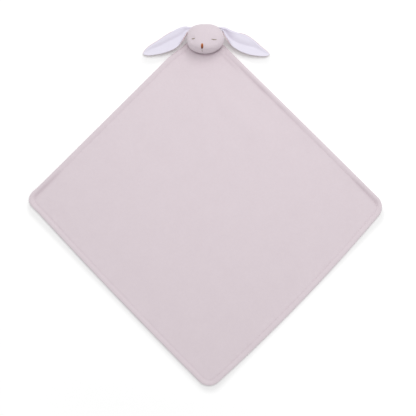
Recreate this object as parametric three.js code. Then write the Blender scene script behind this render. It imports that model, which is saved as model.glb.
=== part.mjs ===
// Comfort blanket: a square of double plush laid out as a diamond, with a stuffed rabbit head
// sewn on its top corner. Millimetres, +Z up, the top corner towards +Y.
// The origin is the middle of the blanket's underside, where it lies on the floor.
import * as THREE from 'three';
import { mergeVertices } from 'three/addons/utils/BufferGeometryUtils.js';

// Cloth, shared by every sewn piece
const ply = 1.6;                  // plush, pile and backing together
const pressedPly = 1.4;           // the same plush where a row of stitches draws it flat
const liningPly = 1.7;            // the smoother plush that lines the ears
const seamGap = 0.3;              // clearance between two pieces that touch
const restCut = 0.5;              // how deep the floor flattens a soft underside
const stackPitch = ply + seamGap;

// Blanket
const blanketWide = 745.6;        // side from the left corner to the top corner
const blanketLong = 778.5;        // side from the right corner to the top corner
const cornerRadius = 36;
const sideSway = 11.6;            // the most that a side of the laid-out cloth bulges past its cut line
const edgeFold = 3;               // inset at which the turned edge reaches its full height
const foldNose = 2.2;             // inset at which the turned edge meets its allowance
const slitRoot = 2.0;             // inset of the bottom of the slit between ply and allowance
const seamAllowance = 10;         // turned in between the two panels
const topstitchInset = 15.5;
const stitchRelease = 8;          // from the topstitch to where the plush is full again
const waveHeight = 3.4;           // the highest of the soft waves in the laid-out cloth
const waveSpread = 62;            // half width of the broadest
const waveFade = 34;              // over which the waves die out towards the topstitch
const fieldSpans = 12;            // grid spans across the field, closer towards the head
const spanGrowth = 1.13;

// Heights in the blanket's stack of plies
const borderTop = 3 * stackPitch + ply;      // both plies and both allowances
const fieldTop = stackPitch + ply;
const stitchTop = 2 * pressedPly + seamGap;
const fieldInset = topstitchInset + stitchRelease;

// Head
const headWide = 110.6;
const headTall = 87.6;
const headSquareness = 2.25;      // 2 is an ellipse
const headPastCorner = 10.4;      // the head's middle, to the right of the blanket's top corner
const headBelowCorner = 49;       // and below the point where the corner's two sides would meet
const headFloat = 0.4;            // clearance over the blanket's border
const headBackDepth = 27;         // flat back to side seam
const headFaceDepth = 31;         // side seam to the middle of the face
const headFlatShare = 0.78;       // part of the back that lies flat
const headSides = 24;
const headRings = 7;
const muzzleRise = 6;
const muzzleWide = 21;            // distance over which the muzzle dies out
const muzzleTall = 17;
const faceTurn = 8.5;             // the face looks this far to the left of the head's middle
const muzzleLead = 3;             // the muzzle's middle lies above the nose's by this much

// Neck
const neckRadius = 18.5;          // ring of gathers and stitches between head and blanket
const neckWall = 3.4;
const neckSetback = 14;           // below the head's middle
const neckCalm = 46;              // the blanket has no wave this close to the middle of the ring
const neckSides = 28;

// Ears, sewn into the side seam between two angles round the head
const earLengths = { left: 160.1, right: 165.2 };
const earAims = { left: 25.1, right: 24.8 };   // degrees below level, away from the head
const earSeamHigh = 50;           // degrees round the head's outline from its right or left side
const earSeamLow = 32;
const earSeat = 0.5;              // clearance of the ear's root from the head's outline
const earTipFloat = 4.5;          // clearance of the ear's tip over the floor
const earDroop = 1.3;             // 1 is a straight slope from root to tip
const earRimRise = 2.6;           // the turned-in rim stands above the ear's middle
const earCup = 2.4;               // 1 is a straight slope from the middle up to the lower rim
const earFlapRise = 9.5;          // the folded flap beside the root stands higher
const earFlapAtShare = 0.17;
const earFlapSpanShare = 0.13;
const earSteps = 14;
const earUpperLead = 0.8;         // below 1, the grid runs ahead along the upper edge

// Embroidery
const threadPad = 1.5;            // height of the raised stitches
const padEndShare = 0.6;          // their height at the ends of a pad
const padEdgeShare = 0.5;         // and along its edges
const noseTall = 14.5;
const noseWide = 6.6;
const noseEndShare = 0.35;        // its width at its ends
const noseTurn = 9.7;             // the nose lies this far to the left of the head's middle
const mouthTall = 5.4;
const mouthChinGap = 2;           // from the mouth's end to the chin, seen from above
const mouthWide = 1.6;
const eyeLong = 13;
const eyeThick = 2.4;
const eyeEndShare = 0.45;         // its thickness at its ends
const eyeSag = 2.2;               // how far the closed lid curves down
const eyeFromSide = 24.7;         // from the head's widest place in to the middle of each eye
const eyeDrop = 6.9;              // below the head's middle
const eyeTilt = 0.9;              // the right eye lies this much lower still, and the left one higher
const eyesTurn = 6.4;             // the eyes' middle lies this far to the left

// Places that follow from the sizes above
const headX = (blanketWide - blanketLong) / 2 * Math.SQRT1_2 + headPastCorner;
const headY = (blanketWide + blanketLong) / 2 * Math.SQRT1_2 - headBelowCorner;
const headBackZ = borderTop + headFloat;
const sideSeamZ = headBackZ + headBackDepth;
const noseDrop = headTall / 2 - mouthChinGap - mouthTall - seamGap - noseTall / 2;
const muzzleDrop = noseDrop - muzzleLead;
const eyeSpread = headWide / 2 - eyeFromSide;
const neckX = headX;
const neckY = headY - neckSetback;

const velour = new THREE.MeshStandardMaterial({ color: 0xddd0d6, roughness: 0.9, metalness: 0 });
const pinkVelour = new THREE.MeshStandardMaterial({ color: 0xdccbd2, roughness: 0.9, metalness: 0 });
const whiteLining = new THREE.MeshStandardMaterial({ color: 0xe4deec, roughness: 0.7, metalness: 0 });
const fibre = new THREE.MeshStandardMaterial({ color: 0xf4f2ee, roughness: 1, metalness: 0 });
const brownThread = new THREE.MeshStandardMaterial({ color: 0x9c5a34, roughness: 0.5, metalness: 0 });
const taupeThread = new THREE.MeshStandardMaterial({ color: 0xa3978f, roughness: 0.5, metalness: 0 });
const seamThread = new THREE.MeshStandardMaterial({ color: 0xcfc0c8, roughness: 0.8, metalness: 0 });

// A closed skin put together from loops and sheets of points
class Skin {
  constructor() {
    this.points = [];
    this.triangles = [];
  }

  add(points) {
    return points.map((point) => this.points.push(point) - 1);
  }

  triangle(a, b, c) {
    const [pa, pb, pc] = [a, b, c].map((index) => this.points[index]);
    const collapsed = pa.equals(pb) || pb.equals(pc) || pc.equals(pa);
    if (!collapsed) this.triangles.push([a, b, c]);
  }

  quad(a, b, c, d) {
    this.triangle(a, b, c);
    this.triangle(a, c, d);
  }

  sheet(rows, flipped) {
    for (let i = 0; i + 1 < rows.length; i += 1) {
      for (let j = 0; j + 1 < rows[i].length; j += 1) {
        const [a, b, c, d] = [rows[i][j], rows[i + 1][j], rows[i + 1][j + 1], rows[i][j + 1]];
        if (flipped) this.quadFlipped(a, b, c, d);
        else this.quad(a, b, c, d);
      }
    }
  }

  quadFlipped(a, b, c, d) {
    this.triangle(a, c, b);
    this.triangle(a, d, c);
  }

  band(loopA, loopB, flipped = false) {
    for (let k = 0; k < loopA.length; k += 1) {
      const next = (k + 1) % loopA.length;
      const corners = [loopA[k], loopB[k], loopB[next], loopA[next]];
      if (flipped) this.quadFlipped(...corners);
      else this.quad(...corners);
    }
  }

  fan(pole, loop, flipped) {
    for (let k = 0; k < loop.length; k += 1) {
      const next = (k + 1) % loop.length;
      if (flipped) this.triangle(pole, loop[next], loop[k]);
      else this.triangle(pole, loop[k], loop[next]);
    }
  }

  signedVolume() {
    let volume = 0;
    for (const corners of this.triangles) {
      const [a, b, c] = corners.map((index) => this.points[index]);
      volume += a.dot(new THREE.Vector3().crossVectors(b, c));
    }
    return volume;
  }

  geometry() {
    const outwards = this.signedVolume() > 0;
    const order = outwards ? [0, 1, 2] : [0, 2, 1];
    const geometry = new THREE.BufferGeometry();
    geometry.setAttribute('position', new THREE.Float32BufferAttribute(
      this.points.flatMap((point) => point.toArray()), 3));
    geometry.setIndex(this.triangles.flatMap((corners) => order.map((k) => corners[k])));
    const merged = mergeVertices(geometry);
    merged.computeVertexNormals();
    return merged;
  }
}

// The rim of a grid of rows, in order round it
function rimOf(rows) {
  const last = rows.length - 1;
  const end = rows[0].length - 1;
  const far = rows[last].slice(1, end + 1);
  const near = rows[0].slice(0, end).reverse();
  const side = rows.slice(1, last).map((row) => row[end]);
  const firstSide = rows.slice(0, last).map((row) => row[0]);
  return [...firstSide, rows[last][0], ...far, ...side.reverse(), rows[0][end], ...near.slice(0, -1)];
}

function pieceMesh(name, geometry, material) {
  const mesh = new THREE.Mesh(geometry, material);
  mesh.name = name;
  return mesh;
}

// Height read off a profile of [inset, height] pairs
function heightAlong(profile, inset) {
  const after = profile.findIndex(([at]) => at >= inset);
  if (after === -1) return profile[profile.length - 1][1];
  if (after === 0) return profile[0][1];
  const [insetA, heightA] = profile[after - 1];
  const [insetB, heightB] = profile[after];
  return THREE.MathUtils.mapLinear(inset, insetA, insetB, heightA, heightB);
}

// Blanket: both panels share this grid, whose first lines follow the turned-in border
const borderInsets = [0, edgeFold, seamAllowance, topstitchInset, fieldInset];

function gridLines(side) {
  const field = side - 2 * fieldInset;
  const spans = Array.from({ length: fieldSpans }, (_, k) => spanGrowth ** (fieldSpans - 1 - k));
  const total = spans.reduce((sum, span) => sum + span, 0);
  const lines = borderInsets.map((inset) => inset - side / 2);
  let at = fieldInset - side / 2;
  for (const span of spans.slice(0, -1)) {
    at += span / total * field;
    lines.push(at);
  }
  return [...lines, ...borderInsets.map((inset) => side / 2 - inset).reverse()];
}

const wideLines = gridLines(blanketWide);
const longLines = gridLines(blanketLong);

// The nearest side's inset, the way out of the blanket there, and the centre of the corner's arc
function edgeFrame(across, along) {
  const insetAcross = blanketWide / 2 - Math.abs(across);
  const insetAlong = blanketLong / 2 - Math.abs(along);
  const inset = Math.min(insetAcross, insetAlong);
  const centre = new THREE.Vector2(
    Math.sign(across) * (blanketWide / 2 - cornerRadius),
    Math.sign(along) * (blanketLong / 2 - cornerRadius));
  const inCorner = insetAcross < cornerRadius && insetAlong < cornerRadius;
  const outwards = new THREE.Vector2();
  if (inCorner) outwards.set(across, along).sub(centre).normalize();
  else if (insetAcross < insetAlong) outwards.set(Math.sign(across), 0);
  else outwards.set(0, Math.sign(along));
  return { inset, inCorner, centre, outwards };
}

function roundedPlace(across, along, extraInset) {
  const { inset, inCorner, centre, outwards } = edgeFrame(across, along);
  if (inCorner) return centre.clone().addScaledVector(outwards, cornerRadius - inset - extraInset);
  return new THREE.Vector2(across, along).addScaledVector(outwards, -extraInset);
}

// How far each side lies outside its cut line once it is laid out, in shares of sideSway: at its
// upper end, its middle and its lower end
const upperLeftShares = [0.3, 0.05, -0.2];
const upperRightShares = [0.3, 0.3, 0.05];
const lowerLeftShares = [-0.5, 0.45, 0.55];
const lowerRightShares = [-0.55, 1, 0.15];

function swayAt([upper, middle, lower], share) {
  const ends = upper * (1 - share) * (1 - 2 * share) + lower * share * (2 * share - 1);
  return sideSway * (ends + 4 * middle * share * (1 - share));
}

// From the cut square to the cloth as it is laid out, each side's sway fading towards the other side
function swayed(place) {
  const right = place.x / blanketWide + 0.5;
  const left = place.y / blanketLong + 0.5;
  const outAcross = right ** 2 * swayAt(upperRightShares, 1 - left);
  const inAcross = (1 - right) ** 2 * swayAt(lowerLeftShares, 1 - left);
  const outAlong = left ** 2 * swayAt(upperLeftShares, 1 - right);
  const inAlong = (1 - left) ** 2 * swayAt(lowerRightShares, 1 - right);
  return new THREE.Vector2(place.x + outAcross - inAcross, place.y + outAlong - inAlong);
}

// Soft waves in the laid-out cloth, as ridges between two places in shares of the two sides, with
// shares of the waves' height and half width. Three fan out from under the chin
const clothWaves = [
  { fromShare: [0.40, 0.34], toShare: [0.04, 0.29], heightShare: 1, spreadShare: 0.48 },
  { fromShare: [0.33, 0.33], toShare: [0.14, 0.12], heightShare: 0.8, spreadShare: 0.44 },
  { fromShare: [0.36, 0.40], toShare: [0.33, 0.06], heightShare: 0.88, spreadShare: 0.47 },
  { fromShare: [-0.12, 0.30], toShare: [-0.34, -0.10], heightShare: 0.5, spreadShare: 1 },
  { fromShare: [0.24, -0.20], toShare: [-0.20, -0.34], heightShare: 0.56, spreadShare: 0.97 },
];

function plan(across, along) {
  const turn = Math.SQRT1_2;
  return new THREE.Vector2((across - along) * turn, (across + along) * turn);
}

function waveLift(place, inset) {
  const fade = THREE.MathUtils.smoothstep(inset, fieldInset, fieldInset + waveFade);
  const world = plan(place.x, place.y);
  const calm = THREE.MathUtils.smoothstep(
    world.distanceTo(new THREE.Vector2(neckX, neckY)), neckCalm, 2 * neckCalm);
  let lift = 0;
  for (const { fromShare, toShare, heightShare, spreadShare } of clothWaves) {
    const from = new THREE.Vector2(fromShare[0] * blanketWide, fromShare[1] * blanketLong);
    const way = new THREE.Vector2(toShare[0] * blanketWide, toShare[1] * blanketLong).sub(from);
    const offset = place.clone().sub(from);
    const along = THREE.MathUtils.clamp(offset.dot(way) / way.lengthSq(), 0, 1);
    const away = offset.addScaledVector(way, -along).length() / (waveSpread * spreadShare);
    const sinking = 1 - along ** 2 / 2;
    lift = Math.max(lift, waveHeight * heightShare * Math.exp(-(away ** 2)) * sinking);
  }
  return lift * fade * calm;
}

// A panel: its outer face, its inner face, and the hook of the seam allowance between them
function panelGeometry({ outer, inner, hook, flatUnder }) {
  const skin = new Skin();
  const placed = (across, along, extraInset, profile, outside) => {
    const place = roundedPlace(across, along, extraInset);
    const inset = edgeFrame(across, along).inset + extraInset;
    const lift = waveLift(place, inset);
    const full = heightAlong(profile, inset) + lift;
    const height = flatUnder && outside ? Math.max(heightAlong(profile, inset), full - restCut) : full;
    const { x, y } = swayed(place);
    return new THREE.Vector3(x, y, height);
  };
  const grid = (profile, outside) => wideLines.map((across, i) => longLines.map((along, j) => {
    const onRim = i % (wideLines.length - 1) === 0 || j % (longLines.length - 1) === 0;
    return placed(across, along, onRim && !outside ? slitRoot : 0, profile, outside);
  }));
  const outerRows = grid(outer, true).map((row) => skin.add(row));
  const innerRows = grid(inner, false).map((row) => skin.add(row));
  const cells = wideLines.map((across) => longLines.map((along) => ({ across, along })));
  const rim = rimOf(cells);
  const loops = hook.map(([inset, height]) => skin.add(rim.map(({ across, along }) => {
    const { x, y } = swayed(roundedPlace(across, along, inset));
    return new THREE.Vector3(x, y, height);
  })));
  const chain = [rimOf(outerRows), ...loops, rimOf(innerRows)];
  skin.sheet(outerRows, false);
  skin.sheet(innerRows, true);
  for (let k = 0; k + 1 < chain.length; k += 1) skin.band(chain[k], chain[k + 1]);
  return skin.geometry();
}

const frontPanel = {
  outer: [[0, borderTop - ply - seamGap / 2], [edgeFold, borderTop], [seamAllowance, borderTop],
    [topstitchInset, stitchTop], [fieldInset, fieldTop]],
  inner: [[slitRoot, borderTop - ply], [seamAllowance, borderTop - ply],
    [topstitchInset, pressedPly + seamGap], [fieldInset, stackPitch]],
  hook: [[foldNose, 2 * stackPitch], [seamAllowance, 2 * stackPitch],
    [seamAllowance, 2 * stackPitch + ply], [slitRoot, 2 * stackPitch + ply]],
  flatUnder: false,
};

const backPanel = {
  outer: [[0, ply + seamGap / 2], [edgeFold, 0], [fieldInset, 0]],
  inner: [[slitRoot, ply], [seamAllowance, ply], [topstitchInset, pressedPly], [fieldInset, ply]],
  hook: [[foldNose, stackPitch + ply], [seamAllowance, stackPitch + ply],
    [seamAllowance, stackPitch], [slitRoot, stackPitch]],
  flatUnder: true,
};

function makeBlanket() {
  const blanket = new THREE.Group();
  blanket.add(pieceMesh('blanket_front_panel', panelGeometry(frontPanel), velour));
  blanket.add(pieceMesh('blanket_back_panel', panelGeometry(backPanel), velour));
  blanket.rotation.z = Math.PI / 4;
  return blanket;
}

// Neck: a low ring of gathered plush and ladder stitches, between the blanket and the head's back
function makeNeck() {
  const low = fieldTop + seamGap;
  const high = headBackZ - seamGap;
  const bulge = (high - low) / 4;
  const inner = neckRadius - neckWall / 2;
  const outer = neckRadius + neckWall / 2;
  const section = [[inner, low + bulge], [inner + bulge, low], [outer - bulge, low],
    [outer, low + bulge], [outer, high - bulge], [outer - bulge, high],
    [inner + bulge, high], [inner, high - bulge], [inner, low + bulge]];
  const ring = new THREE.LatheGeometry(section.map(([r, h]) => new THREE.Vector2(r, h)), neckSides);
  ring.rotateX(Math.PI / 2);
  const neck = pieceMesh('neck_seam_ring', ring, seamThread);
  neck.position.set(neckX, neckY, 0);
  return neck;
}

// Head: two cups of plush sewn together round the side seam, over a ball of fibre
function signedPower(value, power) {
  return Math.sign(value) * Math.abs(value) ** power;
}

function muzzleAt(x, y) {
  const across = (x + faceTurn) / muzzleWide;
  const down = (y + muzzleDrop) / muzzleTall;
  return muzzleRise * Math.exp(-(across ** 2) - down ** 2);
}

// The head's outline in plan at an angle in degrees, and the same outline a clearance further out
function headOutline(degrees, inwards) {
  const turn = THREE.MathUtils.degToRad(degrees);
  return new THREE.Vector2(
    (headWide / 2 - inwards) * signedPower(Math.cos(turn), 2 / headSquareness),
    (headTall / 2 - inwards) * signedPower(Math.sin(turn), 2 / headSquareness));
}

// A loop of the head's surface, ring 0 at the pole and headRings at the side seam, offset inwards
function headLoop(ring, inwards, isFace) {
  const angle = ring / headRings * Math.PI / 2;
  const reach = Math.sin(angle);
  const roundDepth = headBackDepth / Math.sqrt(1 - headFlatShare ** 2);
  return Array.from({ length: headSides }, (_, k) => {
    const { x, y } = headOutline(k / headSides * 360, inwards).multiplyScalar(reach);
    const skinPlace = headOutline(k / headSides * 360, 0).multiplyScalar(reach);
    const swell = muzzleAt(skinPlace.x, skinPlace.y) * (1 - reach ** 4);
    const faceHeight = (headFaceDepth - inwards) * Math.cos(angle) + swell;
    const backHeight = Math.min(headBackDepth - inwards, (roundDepth - inwards) * Math.cos(angle));
    return new THREE.Vector3(x, y, isFace ? faceHeight : -backHeight);
  });
}

// Loops from the pole out to the side seam, whose last loop stands off the seam plane
function headDome(skin, inwards, isFace, seamOffset, flipped) {
  const pole = headLoop(0, inwards, isFace)[0];
  const poleIndex = skin.add([pole])[0];
  const loops = [];
  for (let ring = 1; ring <= headRings; ring += 1) {
    const points = headLoop(ring, inwards, isFace);
    if (ring === headRings) points.forEach((point) => { point.z = seamOffset; });
    loops.push(skin.add(points));
  }
  skin.fan(poleIndex, loops[0], flipped);
  for (let k = 0; k + 1 < loops.length; k += 1) skin.band(loops[k], loops[k + 1], flipped);
  return loops[loops.length - 1];
}

function headShell(isFace) {
  const skin = new Skin();
  const seamOffset = (isFace ? 1 : -1) * seamGap / 2;
  const outerRim = headDome(skin, 0, isFace, seamOffset, !isFace);
  const innerRim = headDome(skin, ply, isFace, seamOffset, isFace);
  if (isFace) skin.band(outerRim, innerRim);
  else skin.band(innerRim, outerRim);
  return skin.geometry();
}

function headFilling() {
  const skin = new Skin();
  const inwards = ply + seamGap;
  const faceRim = headDome(skin, inwards, true, seamGap / 2, false);
  const backRim = headDome(skin, inwards, false, -seamGap / 2, true);
  skin.band(faceRim, backRim);
  return skin.geometry();
}

// Embroidery: each pad is laid on the face by dropping its points onto the plush below
const facePanel = pieceMesh('face_panel', headShell(true), velour);
facePanel.updateMatrixWorld();

function faceHeightAt(x, y) {
  const above = new THREE.Vector3(x, y, headFaceDepth + headTall);
  const ray = new THREE.Raycaster(above, new THREE.Vector3(0, 0, -1));
  return ray.intersectObject(facePanel)[0].point.z;
}

// From an end share up to 1 at the middle of a length
function bulging(share, endShare) {
  return endShare + (1 - endShare) * Math.sin(share * Math.PI);
}

// A raised pad whose spine and width are functions of a share from 0 to 1 along it
function threadPadGeometry(spine, halfWidth, steps) {
  const skin = new Skin();
  const crossShares = [-1, -0.5, 0, 0.5, 1];
  const rows = Array.from({ length: steps + 1 }, (_, k) => {
    const share = k / steps;
    const here = spine(share);
    const way = spine(Math.min(1, share + 1 / steps)).sub(spine(Math.max(0, share - 1 / steps))).normalize();
    return crossShares.map((cross) => {
      const x = here.x - way.y * cross * halfWidth(share);
      const y = here.y + way.x * cross * halfWidth(share);
      const across = 1 - (1 - padEdgeShare) * cross ** 2;
      const crown = threadPad * across * bulging(share, padEndShare);
      return { x, y, seat: faceHeightAt(x, y) + seamGap, crown };
    });
  });
  const top = rows.map((row) => skin.add(row.map((p) => new THREE.Vector3(p.x, p.y, p.seat + p.crown))));
  const under = rows.map((row) => skin.add(row.map((p) => new THREE.Vector3(p.x, p.y, p.seat))));
  skin.sheet(top, false);
  skin.sheet(under, true);
  skin.band(rimOf(top), rimOf(under));
  return skin.geometry();
}

function makeNose() {
  const spine = (share) => new THREE.Vector2(-noseTurn, -noseDrop + noseTall * (0.5 - share));
  const halfWidth = (share) => noseWide / 2 * Math.max(noseEndShare, Math.sqrt(1 - (2 * share - 1) ** 4));
  return pieceMesh('nose_embroidery', threadPadGeometry(spine, halfWidth, 6), brownThread);
}

function makeMouth() {
  const top = -noseDrop - noseTall / 2 - seamGap;
  const spine = (share) => new THREE.Vector2(-noseTurn, top - mouthTall * share);
  return pieceMesh('mouth_stitch', threadPadGeometry(spine, () => mouthWide / 2, 3), taupeThread);
}

function makeEye(name, side) {
  const spine = (share) => new THREE.Vector2(
    side * eyeSpread - eyesTurn + eyeLong * (share - 0.5),
    -eyeDrop - side * eyeTilt - eyeSag * Math.sin(share * Math.PI));
  const halfWidth = (share) => eyeThick / 2 * bulging(share, eyeEndShare);
  return pieceMesh(name, threadPadGeometry(spine, halfWidth, 7), taupeThread);
}

function makeHead() {
  const head = new THREE.Group();
  head.add(facePanel);
  head.add(pieceMesh('head_back_panel', headShell(false), velour));
  head.add(pieceMesh('head_stuffing', headFilling(), fibre));
  head.add(makeNose());
  head.add(makeMouth());
  head.add(makeEye('left_eye_embroidery', -1));
  head.add(makeEye('right_eye_embroidery', 1));
  head.position.set(headX, headY, sideSeamZ);
  return head;
}

// Ears: the upper and lower edge of each, from root to tip, in shares of its length along the ear
// and across it
const earEdgeShares = {
  left: {
    upper: [[0.01, 0.045], [0.10, 0.099], [0.25, 0.124], [0.45, 0.118], [0.62, 0.098], [0.82, 0.079],
      [0.94, 0.042], [1, 0]],
    lower: [[0.085, -0.018], [0.133, -0.05], [0.175, -0.108], [0.28, -0.16], [0.45, -0.19],
      [0.67, -0.156], [0.88, -0.085], [0.97, -0.035], [1, 0]],
  },
  right: {
    upper: [[0.02, 0.042], [0.10, 0.07], [0.20, 0.071], [0.33, 0.094], [0.48, 0.123], [0.65, 0.1],
      [0.80, 0.055], [0.92, 0.028], [1, 0]],
    lower: [[0.085, -0.026], [0.135, -0.078], [0.19, -0.133], [0.29, -0.174], [0.47, -0.195],
      [0.66, -0.176], [0.84, -0.118], [0.96, -0.06], [1, 0]],
  },
};
const earCrossShares = [0, 0.07, 0.2, 0.42, 0.64, 0.83, 0.94, 1];   // from the lower edge to the upper
const earRimShare = 0.16;         // of the half width, over which the turned-in rim lies

// Plan places of the ear's grid, with how far along and across the ear each one is
function earGrid(side) {
  const sign = side === 'left' ? -1 : 1;
  const seam = (degrees) => headOutline(degrees, -earSeat).multiply(new THREE.Vector2(sign, 1))
    .add(new THREE.Vector2(headX, headY));
  const root = seam((earSeamHigh + earSeamLow) / 2);
  const aim = THREE.MathUtils.degToRad(earAims[side]);
  const way = new THREE.Vector2(sign * Math.cos(aim), -Math.sin(aim));
  const crown = new THREE.Vector2(-way.y, way.x).multiplyScalar(sign);
  const length = earLengths[side];
  const inEar = (place) => {
    const offset = place.clone().sub(root);
    return new THREE.Vector2(offset.dot(way), offset.dot(crown));
  };
  const curve = (start, shares) => new THREE.SplineCurve([inEar(start),
    ...shares.map(([along, across]) => new THREE.Vector2(along * length, across * length))]);
  const upper = curve(seam(earSeamHigh), earEdgeShares[side].upper);
  const lower = curve(seam(earSeamLow), earEdgeShares[side].lower);
  return Array.from({ length: earSteps + 1 }, (_, k) => earCrossShares.map((cross) => {
    const flat = lower.getPointAt(k / earSteps).lerp(upper.getPointAt((k / earSteps) ** earUpperLead), cross);
    const place = root.clone().addScaledVector(way, flat.x).addScaledVector(crown, flat.y);
    return { place, along: THREE.MathUtils.clamp(flat.x / length, 0, 1), across: 2 * cross - 1 };
  }));
}

function earTop({ along, across }) {
  const rootZ = sideSeamZ + (liningPly + seamGap + ply) / 2;
  const tipZ = earTipFloat + ply + seamGap + liningPly;
  const flap = earFlapRise * Math.exp(-(((along - earFlapAtShare) / earFlapSpanShare) ** 2));
  const rim = across < 0 ? (earRimRise + flap) * Math.abs(across) ** earCup : earRimRise * across ** 2;
  const tipEase = 1 - along ** 4;
  return tipZ + (rootZ - tipZ) * (1 - along) ** earDroop + rim * tipEase;
}

// Plush inside the rim is double, because the seam allowance is turned in there
function earBackPly({ along, across }) {
  const fromRim = 1 - Math.abs(across);
  const rimPly = ply + stackPitch * Math.exp(-((fromRim / earRimShare - 1) ** 2));
  const edgePly = fromRim === 0 ? ply : rimPly;
  return THREE.MathUtils.lerp(edgePly, ply, along ** 4);
}

function earSolid(rows) {
  const skin = new Skin();
  const top = rows.map((row) => skin.add(row.map(({ x, y, top }) => new THREE.Vector3(x, y, top))));
  const under = rows.map((row) => skin.add(row.map(({ x, y, under }) => new THREE.Vector3(x, y, under))));
  skin.sheet(top, false);
  skin.sheet(under, true);
  skin.band(rimOf(top), rimOf(under));
  return skin.geometry();
}

function makeEar(side) {
  const grid = earGrid(side);
  const lining = grid.map((row) => row.map((cell) => {
    const top = earTop(cell);
    return { x: cell.place.x, y: cell.place.y, top, under: top - liningPly };
  }));
  const back = grid.map((row) => row.map((cell) => {
    const top = earTop(cell) - liningPly - seamGap;
    return { x: cell.place.x, y: cell.place.y, top, under: top - earBackPly(cell) };
  }));
  const ear = new THREE.Group();
  ear.add(pieceMesh(`${side}_ear_lining`, earSolid(lining), whiteLining));
  ear.add(pieceMesh(`${side}_ear_back`, earSolid(back), pinkVelour));
  return ear;
}

const lovey = new THREE.Group();
lovey.add(makeBlanket(), makeNeck(), makeHead(), makeEar('left'), makeEar('right'));

export default lovey;
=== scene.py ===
import math
import random

import bmesh
import bpy
import numpy as np
from mathutils import Matrix, Vector, noise
from mathutils.bvhtree import BVHTree


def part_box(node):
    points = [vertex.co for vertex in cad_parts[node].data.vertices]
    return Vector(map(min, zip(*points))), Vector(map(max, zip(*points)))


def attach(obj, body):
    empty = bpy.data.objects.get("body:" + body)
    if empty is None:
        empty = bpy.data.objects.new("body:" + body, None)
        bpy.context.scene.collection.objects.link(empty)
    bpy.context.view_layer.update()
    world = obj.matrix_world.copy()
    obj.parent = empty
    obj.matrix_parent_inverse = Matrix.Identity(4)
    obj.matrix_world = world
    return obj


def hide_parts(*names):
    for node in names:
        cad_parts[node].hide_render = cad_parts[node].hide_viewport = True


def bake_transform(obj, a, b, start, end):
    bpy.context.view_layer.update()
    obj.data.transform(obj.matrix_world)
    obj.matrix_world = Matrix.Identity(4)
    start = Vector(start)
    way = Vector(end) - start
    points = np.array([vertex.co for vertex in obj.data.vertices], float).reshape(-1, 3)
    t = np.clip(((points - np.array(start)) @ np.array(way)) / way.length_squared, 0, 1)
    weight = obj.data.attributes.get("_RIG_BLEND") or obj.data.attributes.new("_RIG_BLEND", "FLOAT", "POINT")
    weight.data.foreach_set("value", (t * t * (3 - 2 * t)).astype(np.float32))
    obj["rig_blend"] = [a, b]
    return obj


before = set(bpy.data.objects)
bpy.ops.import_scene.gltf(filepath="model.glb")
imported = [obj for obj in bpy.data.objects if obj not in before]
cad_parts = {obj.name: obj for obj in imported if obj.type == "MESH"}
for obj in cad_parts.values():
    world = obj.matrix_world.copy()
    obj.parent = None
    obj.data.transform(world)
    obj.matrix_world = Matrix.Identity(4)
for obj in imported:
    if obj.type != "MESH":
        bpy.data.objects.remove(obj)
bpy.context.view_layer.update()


# Velour. Every shown ply is a knitted plush with a short brushed pile: soft patches where the nap
# leans another way, a mottle of crushed tufts, and the grain of the fibres themselves.
class Strand:
    """One output of a node. Arithmetic on it adds the Math nodes."""

    def __init__(self, finish, socket):
        self.finish = finish
        self.socket = socket

    def joined(self, operation, first, second):
        return self.finish.node("Math", {"operation": operation}, {0: first, 1: second})

    def __add__(self, other):
        return self.joined("ADD", self, other)

    def __radd__(self, other):
        return self.joined("ADD", other, self)

    def __sub__(self, other):
        return self.joined("SUBTRACT", self, other)

    def __rsub__(self, other):
        return self.joined("SUBTRACT", other, self)

    def __mul__(self, other):
        return self.joined("MULTIPLY", self, other)

    def __rmul__(self, other):
        return self.joined("MULTIPLY", other, self)

    def __pow__(self, other):
        return self.joined("POWER", self, other)


# the sockets of a Mix node that take its share and its two colours
mix_share, mix_low, mix_high = 0, 6, 7


class Finish:
    """The nodes of a material or of the world. node() adds any node and gives back one output."""

    def __init__(self, owner, shader="Principled BSDF"):
        owner.use_nodes = True
        self.owner = owner
        self.tree = owner.node_tree
        self.shader = self.tree.nodes[shader]

    def node(self, kind, settings=None, values=None, output=0):
        made = self.tree.nodes.new("ShaderNode" + kind)
        for name, setting in (settings or {}).items():
            setattr(made, name, setting)
        for name, value in (values or {}).items():
            self.feed(made.inputs[name], value)
        return Strand(self, made.outputs[output])

    def feed(self, socket, value):
        if isinstance(value, Strand):
            self.tree.links.new(value.socket, socket)
        else:
            socket.default_value = value

    def set(self, **values):
        for name, value in values.items():
            self.feed(self.shader.inputs[name.replace("_", " ").title().replace("Ior", "IOR")], value)

    def bump(self, height, strength, distance):
        values = {"Strength": strength, "Distance": distance, "Height": height}
        self.set(normal=self.node("Bump", None, values))

    def place(self):
        """The point that is shaded, in the piece's own frame."""
        return self.node("TexCoord", output="Object")

    def speckle(self, size, detail=2.0, stretch=(1, 1, 1)):
        """Noise whose blotches are about one size across, in metres, from 0 to 1."""
        spread = self.node("Mapping", None, {"Vector": self.place(), "Scale": stretch})
        return self.node("TexNoise", None, {"Vector": spread, "Scale": 1 / size, "Detail": detail})

    def blend(self, share, low, high):
        return self.node("Mix", {"data_type": "RGBA"}, {mix_share: share, mix_low: low, mix_high: high},
                         output=2)

    def in_view(self):
        """1 for the rays that show this in the picture, straight on or through gloss or glass."""
        rays = [self.node("LightPath", output=name)
                for name in ("Is Camera Ray", "Is Glossy Ray", "Is Transmission Ray")]
        return rays[0] + rays[1] + rays[2]


def colour(red, green, blue):
    """A colour as it is seen, from 0 to 255, as the linear one that a shader takes."""
    seen = [level / 255 for level in (red, green, blue)]
    return tuple(s / 12.92 if s <= 0.04045 else ((s + 0.055) / 1.055) ** 2.4 for s in seen) + (1.0,)


fibre_size = 0.0006
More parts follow.
